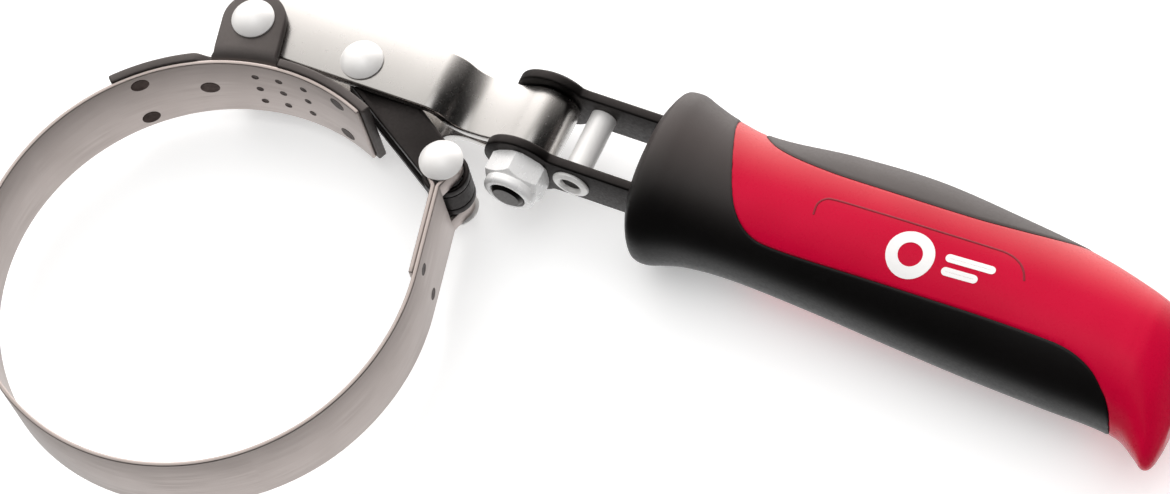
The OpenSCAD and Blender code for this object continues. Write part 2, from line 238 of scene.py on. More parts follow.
# ---------------------------------------------------------------- mesh tools
def tidy_mesh(mesh, gap=0.0015 * MM):
    """Joins touching points, drops faces without area and turns all faces outwards."""
    bm = bmesh.new()
    bm.from_mesh(mesh)
    bmesh.ops.remove_doubles(bm, verts=bm.verts, dist=gap)
    bmesh.ops.dissolve_degenerate(bm, dist=gap * 0.5, edges=bm.edges)
    loose = [v for v in bm.verts if not v.link_faces]
    bmesh.ops.delete(bm, geom=loose, context="VERTS")
    bmesh.ops.recalc_face_normals(bm, faces=bm.faces)
    bm.to_mesh(mesh)
    bm.free()


def mesh_object(name, verts, faces, material, uvs=None, smooth_angle=40):
    mesh = bpy.data.meshes.new(name)
    mesh.from_pydata([tuple(v) for v in verts], [], faces)
    if uvs:
        layer = mesh.uv_layers.new(name="UVMap")
        for loop in mesh.loops:
            layer.data[loop.index].uv = uvs[loop.vertex_index]
    tidy_mesh(mesh)
    mesh.materials.append(material)
    obj = bpy.data.objects.new(name, mesh)
    scene.collection.objects.link(obj)
    mesh.shade_smooth()
    mesh.set_sharp_from_angle(angle=math.radians(smooth_angle))
    return obj


def tube_faces(rows, count, looped=False, base=0):
    """Quads between rows of count points; looped also joins the last row to the first."""
    faces = []
    for i in range(rows if looped else rows - 1):
        j = (i + 1) % rows
        for k in range(count):
            n = (k + 1) % count
            faces.append((base + i * count + k, base + i * count + n,
                          base + j * count + n, base + j * count + k))
    return faces


def end_caps(rows, count):
    """The faces that close a tube's first and last row."""
    return [tuple(range(count - 1, -1, -1)), tuple((rows - 1) * count + k for k in range(count))]


def rounded_box_section(low, high, half_t, edge, inset=0.0, corner=4):
    """Points (width, thickness) round a strip's cross-section, edges rounded to radius edge."""
    low, high, half_t = low + inset, high - inset, half_t - inset
    edge = max(edge - inset, 0.02 * MM)
    edge = min(edge, half_t * 0.98, (high - low) * 0.49)
    points = []
    for cx, cy, start in ((high - edge, half_t - edge, 0), (low + edge, half_t - edge, 90),
                          (low + edge, -half_t + edge, 180), (high - edge, -half_t + edge, 270)):
        for k in range(corner):
            a = math.radians(start + 90 * k / (corner - 1))
            points.append((cx + edge * math.cos(a), cy + edge * math.sin(a)))
    return points


def rounded_end(rows, edge, caps=4):
    """Rows of a strip with the first one drawn back and rounded off to radius edge."""
    centre, normal, low, high, _, run = rows[0]
    out = (centre - rows[1][0]).normalized()
    extra = []
    for k in range(caps):
        a = math.radians(90 * k / caps)
        place = centre - out * edge * (1 - math.cos(a))
        extra.append((place, normal, low, high, edge * (1 - math.sin(a)), run))
    return extra + [(centre - out * edge, normal, low, high, 0.0, run)] + rows[1:]


def sweep_strip(name, stations, width_axis, thickness, edge, material, round_ends=(True, True)):
    """Strip along stations of (centre, normal, low, high): low and high are its edges along width_axis."""
    lengths = [0.0]
    for a, b in zip(stations, stations[1:]):
        lengths.append(lengths[-1] + (b[0] - a[0]).length)
    rows = [(c, n, lo, hi, 0.0, s) for (c, n, lo, hi), s in zip(stations, lengths)]
    if round_ends[0]:
        rows = rounded_end(rows, edge)
    if round_ends[1]:
        rows = rounded_end(rows[::-1], edge)[::-1]
    verts, uvs = [], []
    for c, n, lo, hi, inset, s in rows:
        section = rounded_box_section(lo, hi, thickness / 2, edge, inset)
        for w, t in section:
            verts.append(c + width_axis * w + n * t)
            uvs.append((s, w + t))
    ring = len(section)
    faces = tube_faces(len(rows), ring) + end_caps(len(rows), ring)
    return mesh_object(name, verts, faces, material, uvs)


def lathe(name, profile, origin, axis, material, segments=64, smooth_angle=35, bored=False):
    """Solid of revolution from (radius, height) points; a bored one's outline is a closed loop."""
    axis = Vector(axis).normalized()
    side = axis.orthogonal().normalized()
    other = axis.cross(side)
    verts, uvs = [], []
    for r, h in profile:
        for k in range(segments):
            a = 2 * math.pi * k / segments
            verts.append(Vector(origin) + axis * h + (side * math.cos(a) + other * math.sin(a)) * r)
            uvs.append((a * max(r, 0.5 * MM), h))
    faces = tube_faces(len(profile), segments, bored)
    if not bored:
        faces += end_caps(len(profile), segments)
    return mesh_object(name, verts, faces, material, uvs, smooth_angle)


def join(name, objects):
    bpy.ops.object.select_all(action="DESELECT")
    for o in objects:
        o.select_set(True)
    bpy.context.view_layer.objects.active = objects[0]
    bpy.ops.object.join()
    objects[0].name = name
    return objects[0]


def stand_in(piece, body, node, finish):
    """The piece rides the body and shows in the CAD node's place; finish is not used."""
    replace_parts(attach(piece, body), node)


def arc_path(centre, radius, start, end, steps):
    """Stations (point, outward normal) along an arc in the XY plane, degrees."""
    out = []
    for i in range(steps + 1):
        a = start + (end - start) * i / steps
        n = polar(1, a)
        out.append((centre + n * radius, n))
    return out


# ---------------------------------------------------------------- band
def bearing(v):
    """Angle of an XY vector in degrees, 0 to 360."""
    return math.degrees(math.atan2(v.y, v.x)) % 360


HINGE_ANGLES = [bearing(joint_xy(f"band_flex_{i}")) for i in range(1, 6)]
ANCHOR_START = 67.6
FLEX_LEAD = 3
FLEX_REACH = 16
FLARE_R = 54.6 * MM
RING_MID = RING_R + BAND_T / 2
EDGE = 0.22 * MM
HALF_W = BAND_W / 2


def band_strip(name, path, ends):
    stations = [(p, n, -HALF_W, HALF_W) for p, n in path]
    return sweep_strip(name, stations, Z, BAND_T, EDGE, band_steel, ends)


middles = [(a + b) / 2 for a, b in zip(HINGE_ANGLES, HINGE_ANGLES[1:])]
flex_start = HINGE_ANGLES[0] - FLEX_LEAD
anchor_path = arc_path(Vector(), RING_MID, ANCHOR_START, flex_start, 72)
anchor = band_strip("band_under_saddle", anchor_path, (True, False))
stand_in(anchor, "saddle", "band_anchor", "band_steel")

bounds_deg = [flex_start] + middles
for i in range(4):
    low, high = bounds_deg[i], bounds_deg[i + 1]
    path = arc_path(Vector(), RING_MID, low, high, max(8, int(high - low)))
    strip = band_strip(f"band_flex_strip_{i + 1}", path, (False, False))
    tuple(path[0][0])
    tuple(path[-1][0])
    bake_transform(strip)
    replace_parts(strip, f"band_{i + 1}")

# last stretch: ring arc, flatter arc, straight double strip, loop round the band pin
LAST_HINGE = HINGE_ANGLES[4] - 360
flare_c = polar(RING_R - FLARE_R, LAST_HINGE)
to_pin = flat(BAND_PIN) - flare_c
flare_end = math.degrees(math.atan2(to_pin.y, to_pin.x) - math.acos(FLARE_R / to_pin.length))
flex_end = LAST_HINGE + FLEX_REACH
blend_path = arc_path(Vector(), RING_MID, middles[3] - 360, LAST_HINGE, 24)
blend_path += arc_path(flare_c, FLARE_R + BAND_T / 2, LAST_HINGE, flex_end, 16)[1:]
strip = band_strip("band_flex_strip_5", blend_path, (False, False))
tuple(blend_path[0][0])
tuple(blend_path[-1][0])
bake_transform(strip)

tail = flare_c + polar(FLARE_R, flare_end)
out_n = polar(1, flare_end)
along = polar(1, flare_end + 90)
tail_len = (flat(BAND_PIN) - tail).length
PIN_R = 3.15 * MM
LOOP_MID = PIN_R + 0.05 * MM + BAND_T / 2
KINK = 6.1 * MM
KINK_R = 1.5 * MM
LAYER_GAP = 0.01 * MM


def tail_point(u, v):
    return tail + along * u + out_n * v


def tail_dir(u, v):
    return along * u + out_n * v


def loop_side():
    """Stations of one side of the loop: along the straight strip, out at the kink and round to the tip."""
    half = BAND_T / 2 + LAYER_GAP
    corner_u = tail_len - KINK
    reach = math.hypot(KINK, half)
    lean = math.asin(LOOP_MID / reach) - math.atan2(half, KINK)
    ease = KINK_R * math.tan(lean / 2)
    path = [(tail_point((corner_u - ease) * k / 14, half), tail_dir(0, 1)) for k in range(14)]
    for k in range(8):
        a = lean * k / 7
        path.append((tail_point(corner_u - ease + KINK_R * math.sin(a), half + KINK_R * (1 - math.cos(a))),
                     tail_dir(-math.sin(a), math.cos(a))))
    for k in range(25):
        a = (math.pi / 2 + lean) * (1 - k / 24)
        path.append((tail_point(tail_len + LOOP_MID * math.cos(a), LOOP_MID * math.sin(a)),
                     tail_dir(math.cos(a), math.sin(a))))
    return path


def mirrored(point, normal):
    """The same station on the inner layer, across the strip's middle line."""
    offset = point - tail
    return (tail_point(offset.dot(along), -offset.dot(out_n)),
            tail_dir(normal.dot(along), -normal.dot(out_n)))


flare = arc_path(flare_c, FLARE_R + BAND_T / 2, flex_end, flare_end, 24)
one_side = loop_side()
outer = flare[:-1] + one_side
full_path = outer + [mirrored(p, n) for p, n in one_side[-2::-1]]
SLOT_LENGTH = 7.8 * MM
SLOT_HALF = 5.7 * MM
slot_from = tail_len - SLOT_LENGTH


def band_end_piece():
    """One folded strip; from slot_from on it is two knuckles with the link's slot between them."""
    def in_slot(station):
        return (station[0] - tail).dot(along) >= slot_from
    inside = [i for i, station in enumerate(full_path) if in_slot(station)]
    first, last = inside[0], inside[-1]
    pieces = [band_strip("outer_layer", full_path[:first + 1], (False, False)),
              band_strip("inner_layer", full_path[last:], (False, True))]
    for low, high in ((SLOT_HALF, HALF_W), (-HALF_W, -SLOT_HALF)):
        stations = [(p, n, low, high) for p, n in full_path[first:last + 1]]
        pieces.append(sweep_strip("knuckle", stations, Z, BAND_T, EDGE, band_steel, (False, False)))
    return join("band_looped_end", pieces)


loop_end = band_end_piece()
stand_in(loop_end, "band_end", "band_end", "band_steel")


# spot welds: shallow heat-tinted discs pressed into the strip
def weld_marks(name, marks, body):
    """marks holds (surface, distance along it, z, spot radius); surface(along, z, height) gives a point."""
    profile = [(0.0, 0.02), (0.4, 0.022), (0.75, 0.035), (0.9, 0.06), (1.0, -0.05), (0.0, -0.05)]
    count = 24
    verts, faces = [], []
    for surface, place, z, spot_r in marks:
        base = len(verts)
        for share, height in profile:
            for k in range(count):
                a = 2 * math.pi * k / count
                verts.append(surface(place + spot_r * share * math.cos(a), z + spot_r * share * math.sin(a),
                                     height * MM))
        faces += tube_faces(len(profile), count, base=base)
    obj = mesh_object(name, verts, faces, weld_heat)
    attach(obj, body)


def inner_face(arc, z, height):
    return polar(RING_R - height, math.degrees(arc / RING_R), z)


def strip_outer_face(u, z, height):
    return tail_point(u, BAND_T + height) + Z * z


def ring_arc(degrees):
    return math.radians(degrees) * RING_R


# spots on the band's inner face: (bearing in degrees, z, radius in mm)
spots = [(132.6, 7, 2.3), (133.6, -7, 2.3), (115.3, 0, 2.4), (75.8, 7, 2.1), (76.2, -7, 2.1)]
spots += [(a, z, 0.95) for a in (101.5, 94.8, 87.4) for z in (5.3, 0, -5.5)]
weld_marks("saddle_spot_welds", [(inner_face, ring_arc(a), z * MM, r * MM) for a, z, r in spots], "saddle")
weld_marks("strip_spot_welds", [(strip_outer_face, 3.2 * MM, z * MM, 1.5 * MM) for z in (6, -6)], "band_end")


# ---------------------------------------------------------------- saddle
SADDLE_T = 2.2 * MM
EAR_T = 2.6 * MM
EAR_R = 7.5 * MM
EAR_BEND_R = 1.3 * MM
EAR_SINK = 0.15 * MM
EAR_ROOT = 1.5 * MM
EAR_FILLET = 0.6 * MM
NOTCH = 2.4 * MM
PLATE_ENDS = (66.4, 139.2)
PLATE_MID = RING_R + BAND_T + SADDLE_T / 2
EAR_BEARING = math.degrees(math.atan2(SADDLE_PIN.y, SADDLE_PIN.x))
PIN_RADIUS = SADDLE_PIN.length


def smooth(t):
    t = min(1, max(0, t))
    return t * t * (3 - 2 * t)


def saddle_plate():
    """Curved plate, narrower beside the ears than at them."""
    stations = []
    start, end = PLATE_ENDS
    steps = 146
    for i in range(steps + 1):
        a = start + (end - start) * i / steps
        away = abs(a - EAR_BEARING) * math.pi / 180 * PLATE_MID
        run_out = 4 * MM if a > EAR_BEARING else 0.6 * MM
        narrow = 1 - smooth((away - EAR_R - 0.4 * MM) / run_out)
        half = SADDLE_HALF - narrow * NOTCH
        stations.append((polar(PLATE_MID, a), polar(1, a), -half, half))
    return sweep_strip("plate", stations, Z, SADDLE_T, 0.45 * MM, saddle_steel)


def follow_curve(section, steps=10):
    """The section with extra points along its two long sides, so that it can follow the ring."""
    out = []
    for i, point in enumerate(section):
        out.append(point)
        if i in (3, 11):
            end = section[i + 1]
            out += [(point[0] + (end[0] - point[0]) * k / steps, point[1]) for k in range(1, steps)]
    return out


def saddle_ear(side):
    """Tab bent up from the plate's edge, with a rounded top about the pin."""
    bend = EAR_BEND_R + EAR_T / 2
    mid_z = SADDLE_HALF - EAR_T / 2
    base_r = PLATE_MID - EAR_SINK
    path = [(base_r, mid_z - bend - EAR_ROOT, -1.0, 0.0)]
    for k in range(9):
        a = math.radians(90 * k / 8)
        path.append((base_r + bend * (1 - math.cos(a)), mid_z - bend + bend * math.sin(a),
                     -math.cos(a), math.sin(a)))
    top = PIN_RADIUS + EAR_R
    straight_from = base_r + bend
    for k in range(1, 41):
        share = math.sin(math.radians(90 * k / 40))
        path.append((straight_from + (top - 0.02 * MM - straight_from) * share, mid_z, 0.0, 1.0))
    verts, uvs = [], []
    straight_to = math.sqrt(PIN_RADIUS ** 2 + EAR_R ** 2)
    for r, z, nr, nz in path:
        if r < straight_to:
            half = math.asin(EAR_R / r)
        else:
            half = math.acos(min(1, (r * r + PIN_RADIUS ** 2 - EAR_R ** 2) / (2 * r * PIN_RADIUS)))
        height = r - (PLATE_MID + SADDLE_T / 2)
        rise = EAR_FILLET - max(height, 0)
        if rise > 0:
            half += (EAR_FILLET - math.sqrt(EAR_FILLET ** 2 - rise ** 2)) / r * 0.8
        section = follow_curve(rounded_box_section(-half * r, half * r, EAR_T / 2, 0.5 * MM))
        for w, t in section:
            turn = math.degrees(w / r)
            verts.append(polar(r + nr * t, EAR_BEARING + turn, (z + nz * t) * side))
            uvs.append((r, w + t))
    faces = tube_faces(len(path), len(section)) + end_caps(len(path), len(section))
    if side < 0:
        faces = [face[::-1] for face in faces]
    return mesh_object("ear", verts, faces, saddle_steel, uvs)


saddle = join("saddle_plate_and_ears", [saddle_plate(), saddle_ear(1), saddle_ear(-1)])
stand_in(saddle, "saddle", "saddle", "black_oxide")


# ---------------------------------------------------------------- rivets, bolt and nut
def dome_profile(radius, height, rim, steps=12):
    """Half outline of a rivet head from its rim to its top, heights from the seat up."""
    cap = height - rim
    sphere = (radius ** 2 + cap ** 2) / (2 * cap)
    points = [(radius - 0.15 * MM, 0), (radius, 0.15 * MM), (radius, rim)]
    top = math.asin(min(1, radius / sphere))
    for k in range(1, steps + 1):
        a = top * (1 - k / steps)
        points.append((max(sphere * math.sin(a), 0.01 * MM), rim + cap - sphere + sphere * math.cos(a)))
    return points


def pivot_rivet(name, xy, node, body):
    low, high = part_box(node)
    head_r = (high.x - low.x) / 2
    head_h = 2.8 * MM
    seat = high.z - head_h
    head = dome_profile(head_r, head_h, 0.5 * MM)
    profile = [(r, -seat - h) for r, h in head[::-1]] + [(PIN_R, -seat), (PIN_R, seat)]
    profile += [(r, seat + h) for r, h in head]
    obj = lathe(name, profile, flat(xy), Z, rivet_nickel, 72)
    stand_in(obj, body, node, "nickel_rivets")


pivot_rivet("saddle_rivet", SADDLE_PIN, "saddle_pin", "saddle")
pivot_rivet("link_rivet", LINK_PIN, "link_pin", "lever")
pivot_rivet("band_rivet", BAND_PIN, "band_pin", "band_end")

BOLT_R = 3.95 * MM
BOLT_HEAD_R = 8 * MM
THREAD_PITCH = 1.2 * MM
bolt_low, bolt_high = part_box("swivel_bolt")


def bolt_profile():
    """Axis along +Y: chamfered threaded end, shank, then a thin domed head."""
    y = bolt_low.y + 0.7 * MM
    points = [(1.2 * MM, bolt_low.y), (BOLT_R - 0.8 * MM, bolt_low.y), (BOLT_R, y)]
    while y < ARM_LO[0].y - THREAD_PITCH:
        points += [(BOLT_R - 0.35 * MM, y + THREAD_PITCH / 2), (BOLT_R, y + THREAD_PITCH)]
        y += THREAD_PITCH
    seat = ARM_HI[1].y
    points += [(BOLT_R, seat)]
    points += [(r, seat + h) for r, h in dome_profile(BOLT_HEAD_R, bolt_high.y - seat, 0.6 * MM)]
    return points


bolt = lathe("swivel_bolt_head_and_shank", bolt_profile(), Vector((BOLT_X, 0, 0)), Y, bolt_steel, 72)
stand_in(bolt, "handle", "swivel_bolt", "black_oxide")


def lock_nut():
    """Hex with chamfered corners, then the round collar of a lock nut, bored for the bolt."""
    top, bottom = NUT[1].y, NUT[0].y
    flat_r = 6.35 * MM
    hex_h = 5.8 * MM
    chamfer = 0.7 * MM
    collar_r = 6.1 * MM
    collar_round = 1.1 * MM
    corner = flat_r / math.cos(math.radians(30))
    bore = BOLT_R + 0.05 * MM
    segments = 96
    rows = [(bore, 0, None), (flat_r * 0.8, 0, None)]
    for k in range(7):
        rows.append((None, chamfer * 0.6 * k / 6, corner - 0.6 * MM + 0.6 * MM * k / 6))
    rows += [(None, hex_h * 0.5, corner), (None, hex_h - 0.9 * MM, corner)]
    for k in range(1, 9):
        rows.append((None, hex_h - 0.9 * MM + 0.9 * MM * k / 8, corner - 1.5 * MM * k / 8))
    rows += [(collar_r - 0.05 * MM, hex_h + 0.02 * MM, None), (collar_r, hex_h + 0.3 * MM, None)]
    total = top - bottom
    for k in range(7):
        a = math.radians(90 * k / 6)
        rows.append((collar_r - collar_round + collar_round * math.cos(a),
                     total - collar_round + collar_round * math.sin(a), None))
    rows += [(bore + 0.35 * MM, total, None), (bore, total - 0.5 * MM, None)]
    verts, uvs = [], []
    for r, h, cone in rows:
        for k in range(segments):
            a = 2 * math.pi * k / segments
            local = (a + math.pi / 6) % (math.pi / 3) - math.pi / 6
            radius = r if cone is None else min(flat_r / math.cos(local), cone)
            verts.append(Vector((BOLT_X + radius * math.cos(a), top - h, radius * math.sin(a))))
            uvs.append((a * flat_r, h))
    faces = tube_faces(len(rows), segments, looped=True)
    return mesh_object("swivel_lock_nut", verts, faces, nut_zinc, uvs, 25)


nut = lock_nut()
stand_in(nut, "handle", "swivel_nut", "nickel_rivets")

cross_low, cross_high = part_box("cross_rivet")
CROSS_X = (cross_low.x + cross_high.x) / 2
CROSS_R = 3.0 * MM
FLARE_R_OUT = 4.4 * MM
BORE_R = 2.3 * MM


def cross_rivet_profile():
    """Axis along +Y: the hollow end's bore and rolled flare, the shank, then the domed head."""
    end, seat = cross_low.y, ARM_LO[0].y
    bore = [(0.4 * MM, seat + 3.2 * MM), (BORE_R - 0.15 * MM, seat + 2.8 * MM), (BORE_R, seat)]
    flare = [(BORE_R + 0.2 * MM, end + 0.3 * MM), (BORE_R + 0.6 * MM, end),
             (FLARE_R_OUT - 0.8 * MM, end + 0.05 * MM), (FLARE_R_OUT - 0.15 * MM, end + 0.35 * MM),
             (FLARE_R_OUT, end + 0.7 * MM), (FLARE_R_OUT - 0.1 * MM, seat)]
    shank = [(CROSS_R, seat), (CROSS_R, ARM_HI[1].y)]
    head = [(r, ARM_HI[1].y + h) for r, h in dome_profile(FLARE_R_OUT, 1.6 * MM, 0.4 * MM)]
    return bore + flare + shank + head


cross = lathe("cross_rivet_semi_tubular", cross_rivet_profile(), Vector((CROSS_X, 0, 0)), Y, rivet_nickel, 64)
stand_in(cross, "handle", "cross_rivet", "nickel_rivets")


# ---------------------------------------------------------------- lever strap
STRAP_T = 2.4 * MM
STRAP_HALF = 8 * MM
BEND_R = 6.5 * MM
SWEEP_R = 21.7 * MM
LOOP_OUT = 6.5 * MM
NECK_HALF = STRAP_T + 0.2 * MM
neck_x = BOLT_X - math.sqrt((SWEEP_R + LOOP_OUT) ** 2 - (NECK_HALF + SWEEP_R) ** 2)
bend_z = STRAP_HALF - BEND_R
bend_x = neck_x - math.sqrt((2 * BEND_R) ** 2 - (NECK_HALF + BEND_R - bend_z) ** 2)
strap_low, strap_high = 53.7 * MM, 68.7 * MM
strap_end_x = SADDLE_PIN.x + 0.4 * MM
strap_round = (strap_high - strap_low) / 2


def xz_arc(cx, cz, radius, start, end, steps, sign):
    """Stations (x, z, nx, nz): the strap's outer side is at +normal. sign -1 for concave arcs."""
    out = []
    for i in range(1, steps + 1):
        a = math.radians(start + (end - start) * i / steps)
        out.append((cx + radius * math.cos(a), cz + radius * math.sin(a),
                    sign * math.cos(a), sign * math.sin(a)))
    return out


def strap_half_path():
    """From the rounded end, along the flat plate, through the neck to the loop's far side."""
    mid = STRAP_T / 2
    path = []
    for k in range(25):
        share = 1 - math.cos(math.radians(90 * k / 24))
        x = strap_end_x - strap_round + 0.01 * MM + share * strap_round
        path.append((x, STRAP_HALF - mid, 0, 1))
    for k in range(1, 13):
        path.append((strap_end_x + (bend_x - strap_end_x) * k / 12, STRAP_HALF - mid, 0, 1))
    down = math.degrees(math.atan2(NECK_HALF + BEND_R - bend_z, neck_x - bend_x))
    path += xz_arc(bend_x, bend_z, BEND_R - mid, 90, down, 12, 1)
    path += xz_arc(neck_x, NECK_HALF + BEND_R, BEND_R + mid, down + 180, 270, 12, -1)
    reach = math.degrees(math.atan2(-(NECK_HALF + SWEEP_R), BOLT_X - neck_x)) + 360
    path += xz_arc(neck_x, NECK_HALF + SWEEP_R, SWEEP_R + mid, 270, reach, 10, -1)
    path += xz_arc(BOLT_X, 0, LOOP_OUT - mid, reach - 180, 0, 24, 1)
    return path


def strap_station(x, z, nx, nz):
    inset = 0.0
    if x < strap_end_x:
        inset = strap_round - math.sqrt(max(strap_round ** 2 - (strap_end_x - x) ** 2, 1e-12))
    return (Vector((x, 0, z)), Vector((nx, 0, nz)), strap_low + inset, strap_high - inset)


upper = strap_half_path()
lower = [(x, -z, nx, -nz) for x, z, nx, nz in upper[::-1]][1:]
lever = sweep_strip("lever_strap", [strap_station(*s) for s in upper + lower], Y, STRAP_T, 0.35 * MM,
                    lever_nickel)
stand_in(lever, "lever", "lever", "lever_nickel")


# ---------------------------------------------------------------- flat plates and sleeves
def plate_piece(name, loops, z_low, z_high, bevel, material, place=Matrix.Identity(4)):
    """Flat plate with rounded edges from closed XY outlines; later loops are holes."""
    curve = bpy.data.curves.new(name, "CURVE")
    curve.dimensions = "2D"
    curve.fill_mode = "BOTH"
    curve.extrude = (z_high - z_low) / 2 - bevel
    curve.bevel_depth = bevel
    curve.bevel_resolution = 2
    curve.offset = -bevel
    for loop in loops:
        spline = curve.splines.new("POLY")
        spline.points.add(len(loop) - 1)
        for point, (x, y) in zip(spline.points, loop):
            point.co = (x, y, 0, 1)
        spline.use_cyclic_u = True
    temp = bpy.data.objects.new(name, curve)
    scene.collection.objects.link(temp)
    bpy.context.view_layer.update()
    mesh = bpy.data.meshes.new_from_object(temp.evaluated_get(bpy.context.evaluated_depsgraph_get()))
    bpy.data.objects.remove(temp)
    mesh.transform(place @ Matrix.Translation((0, 0, (z_low + z_high) / 2)))
    tidy_mesh(mesh)
    mesh.materials.clear()
    mesh.materials.append(material)
    mesh.shade_smooth()
    mesh.set_sharp_from_angle(angle=math.radians(35))
    obj = bpy.data.objects.new(name, mesh)
    scene.collection.objects.link(obj)
    return obj


def circle(cx, cy, r, count=64, start=0.0, end=360.0):
    full = end - start >= 360
    steps = count if full else count + 1
    return [(cx + r * math.cos(math.radians(start + (end - start) * k / count)),
             cy + r * math.sin(math.radians(start + (end - start) * k / count))) for k in range(steps)]


link_along = BAND_PIN - LINK_PIN
span = link_along.length
LINK_R = 5.0 * MM
LINK_TIP = 4.4 * MM
EYE_R = 5.3 * MM
HOLE = PIN_R + 0.1 * MM
OPEN_HOLE = PIN_R + 1.05 * MM
link_angle = math.atan2(link_along.y, link_along.x)
link_place = Matrix.Translation(flat(LINK_PIN)) @ Matrix.Rotation(link_angle, 4, "Z")
link_turn = math.degrees(math.asin(LINK_TIP / EYE_R))
link_outline = circle(0, 0, LINK_R, 32, 90, 270)
link_outline += circle(span, 0, EYE_R, 48, link_turn - 180, 180 - link_turn)
for node in ("link_near", "link_far"):
    low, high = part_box(node)
    piece = plate_piece(f"{node}_plate", [link_outline, circle(0, 0, HOLE), circle(span, 0, OPEN_HOLE)],
                        low.z, high.z, 0.35 * MM, black_oxide, link_place)
    stand_in(piece, "link", node, "black_oxide")


def sleeve(name, xy, node, bore, body, material, slot_name):
    low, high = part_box(node)
    r = (high.x - low.x) / 2
    soft = 0.2 * MM
    outline = [(bore, low.z), (r - soft, low.z), (r, low.z + soft), (r, high.z - soft),
               (r - soft, high.z), (bore, high.z)]
    obj = lathe(name, outline, flat(xy), Z, material, 56, bored=True)
    stand_in(obj, body, node, slot_name)


sleeve("link_upper_sleeve", LINK_PIN, "link_spacer_upper", HOLE, "link", black_oxide, "black_oxide")
sleeve("link_lower_sleeve", BAND_PIN, "link_spacer_lower", OPEN_HOLE, "link", black_oxide, "black_oxide")
sleeve("lever_sleeve", SADDLE_PIN, "lever_spacer", HOLE, "lever", lever_nickel, "lever_nickel")


# ---------------------------------------------------------------- yoke arms
ARM_HALF = 6.2 * MM
ARM_T = 2.4 * MM
EYE_ARM_R = 9.4 * MM
JOGGLE_X0 = 85 * MM
JOGGLE_X1 = 107 * MM
TANG_X1 = 166 * MM
TANG_Y = 60 * MM


def yoke_arm(name, y_mid, tang_mid):
    """Stamped arm: round eye, parallel bar, then a joggle in to the tang."""
    stations = []
    meet = BOLT_X + math.sqrt(EYE_ARM_R ** 2 - ARM_HALF ** 2)
    for k in range(41):
        x = BOLT_X - EYE_ARM_R * math.cos(math.radians(180 * k / 40))
        if k == 0:
            x += 0.01 * MM
        if x > meet:
            break
        half = math.sqrt(max(EYE_ARM_R ** 2 - (x - BOLT_X) ** 2, 1e-12))
        stations.append((x, y_mid, half))
    fillet = 2.2 * MM
    for k in range(9):
        t = k / 8
        stations.append((meet + fillet * t, y_mid, ARM_HALF + 0.21 * MM * (1 - t) ** 2))
    for k in range(1, 9):
        stations.append((meet + fillet + (JOGGLE_X0 - meet - fillet) * k / 8, y_mid, ARM_HALF))
    for k in range(1, 17):
        t = k / 16
        x = JOGGLE_X0 + (JOGGLE_X1 - JOGGLE_X0) * t
        stations.append((x, y_mid + (tang_mid - y_mid) * smooth(t), ARM_HALF))
    stations.append((TANG_X1, tang_mid, ARM_HALF))
    rows = []
    for i, (x, y, half) in enumerate(stations):
        a = stations[max(0, i - 1)]
        b = stations[min(len(stations) - 1, i + 1)]
        run = Vector((b[0] - a[0], b[1] - a[1], 0)).normalized()
        rows.append((Vector((x, y, 0)), Vector((-run.y, run.x, 0)), -half, half))
    return sweep_strip(name, rows, Z, ARM_T, 0.5 * MM, black_oxide)


for name, node, y_mid, tang_mid in (
        ("yoke_upper_arm", "yoke_arm_upper", ARM_HI[1].y - ARM_T / 2, TANG_Y + ARM_T / 2),
        ("yoke_lower_arm", "yoke_arm_lower", ARM_LO[0].y + ARM_T / 2, TANG_Y - ARM_T / 2)):
    arm = yoke_arm(name, y_mid, tang_mid)
    stand_in(arm, "handle", node, "black_oxide")

tang_materials = frame["nodes"]["tang_rivets"].data.materials
tang_materials.clear()
tang_materials.append(rivet_nickel)


# ---------------------------------------------------------------- grip surface
GRIP_NODES = ["grip_core", "grip_overmould", "grip_top_inlay"]
SQUARENESS = 2.35
SKIN = 2.5 * MM
RED_SINK = 0.15 * MM
BUTT_ROUND = 1.0 * MM
COLLAR_ROUND = 0.7 * MM
UV_R = 12 * MM


def measured_sections():
    """(x, top y, bottom y, half thickness) at each cross-section ring of the CAD grip."""
    found = {}
    for node in GRIP_NODES:
        for v in frame["nodes"][node].data.vertices:
            found.setdefault(round(v.co.x / MM, 2), []).append(v.co)
    rows = []
    for key, points in sorted(found.items()):
        if len(points) >= 100:
            rows.append((key * MM, max(p.y for p in points), min(p.y for p in points),
                         max(p.z for p in points)))
    return rows


def slope(before, here, after, k):
    """Slope of column k at the middle row, held down so that the curve never passes a crest or a dip."""
    mean = (after[k] - before[k]) / (after[0] - before[0])
    if before is here or after is here:
        return mean
    left = (here[k] - before[k]) / (here[0] - before[0])
    right = (after[k] - here[k]) / (after[0] - here[0])
    if left * right <= 0:
        return 0.0
    return math.copysign(min(abs(mean), 3 * abs(left), 3 * abs(right)), mean)


def smooth_curve(rows, x):
    """Values at x of the smooth curve through rows of (x, value, ...)."""
    x = min(max(x, rows[0][0]), rows[-1][0])
    i = 0
    while i < len(rows) - 2 and rows[i + 1][0] < x:
        i += 1
    a, b = rows[i], rows[i + 1]
    before, after = rows[max(0, i - 1)], rows[min(len(rows) - 1, i + 2)]
    w = b[0] - a[0]
    t = (x - a[0]) / w
    out = []
    for k in range(1, len(a)):
        m0 = slope(before, a, b, k) * w
        m1 = slope(a, b, after, k) * w
        out.append((2 * t ** 3 - 3 * t ** 2 + 1) * a[k] + (t ** 3 - 2 * t ** 2 + t) * m0
                   + (3 * t ** 2 - 2 * t ** 3) * b[k] + (t ** 3 - t ** 2) * m1)
    return out


SECTIONS = measured_sections()
GRIP_X0, GRIP_X1 = SECTIONS[0][0], SECTIONS[-1][0]
